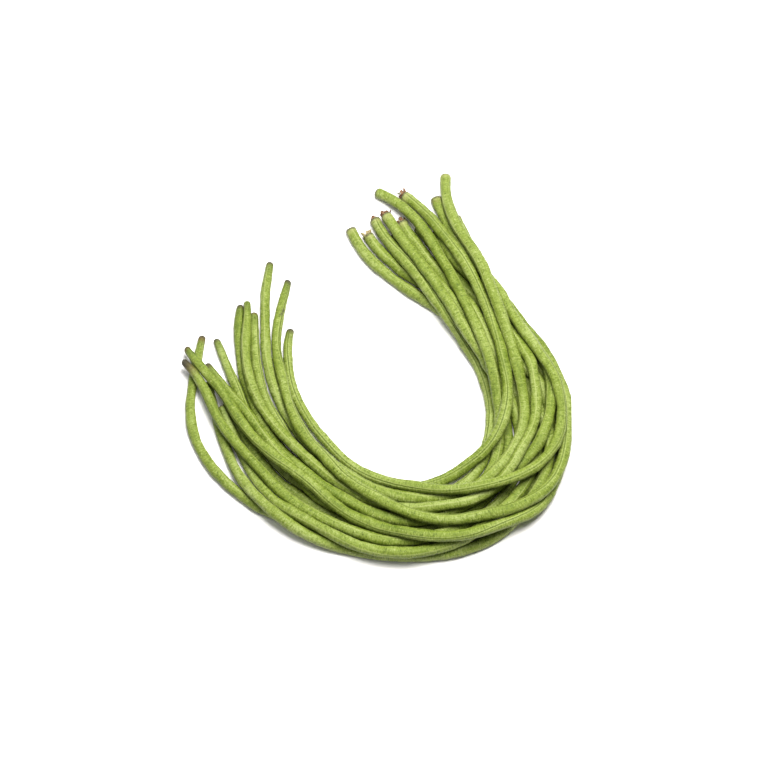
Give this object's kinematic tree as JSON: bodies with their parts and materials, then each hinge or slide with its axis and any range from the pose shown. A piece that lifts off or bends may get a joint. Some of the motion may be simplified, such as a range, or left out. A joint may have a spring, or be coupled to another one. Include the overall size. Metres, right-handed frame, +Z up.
{
  "type": "yardlong bean bunch",
  "caption": "Loose bunch of long slender green bean pods bent into a U and lying flat, tapered tips at one end and stem ends at the other",
  "frame": {"origin": "middle of the bunch's footprint, on the surface that it lies on", "axes": "+Z up from the surface; +Y towards the open side of the U, where the tips and stem ends are; tips at -X, stem ends at +X"},
  "size_m": [0.2932, 0.3108, 0.0332],
  "materials": {
    "pod_skin": "satin"
  },
  "bodies": {
    "root": {"pod_01": "pod_skin", "pod_02": "pod_skin", "pod_03": "pod_skin", "pod_04": "pod_skin", "pod_05": "pod_skin", "pod_06": "pod_skin", "pod_07": "pod_skin", "pod_08": "pod_skin", "pod_09": "pod_skin", "pod_10": "pod_skin", "pod_11": "pod_skin", "pod_12": "pod_skin", "pod_13": "pod_skin", "pod_14": "pod_skin"}
  },
  "joints": []
}
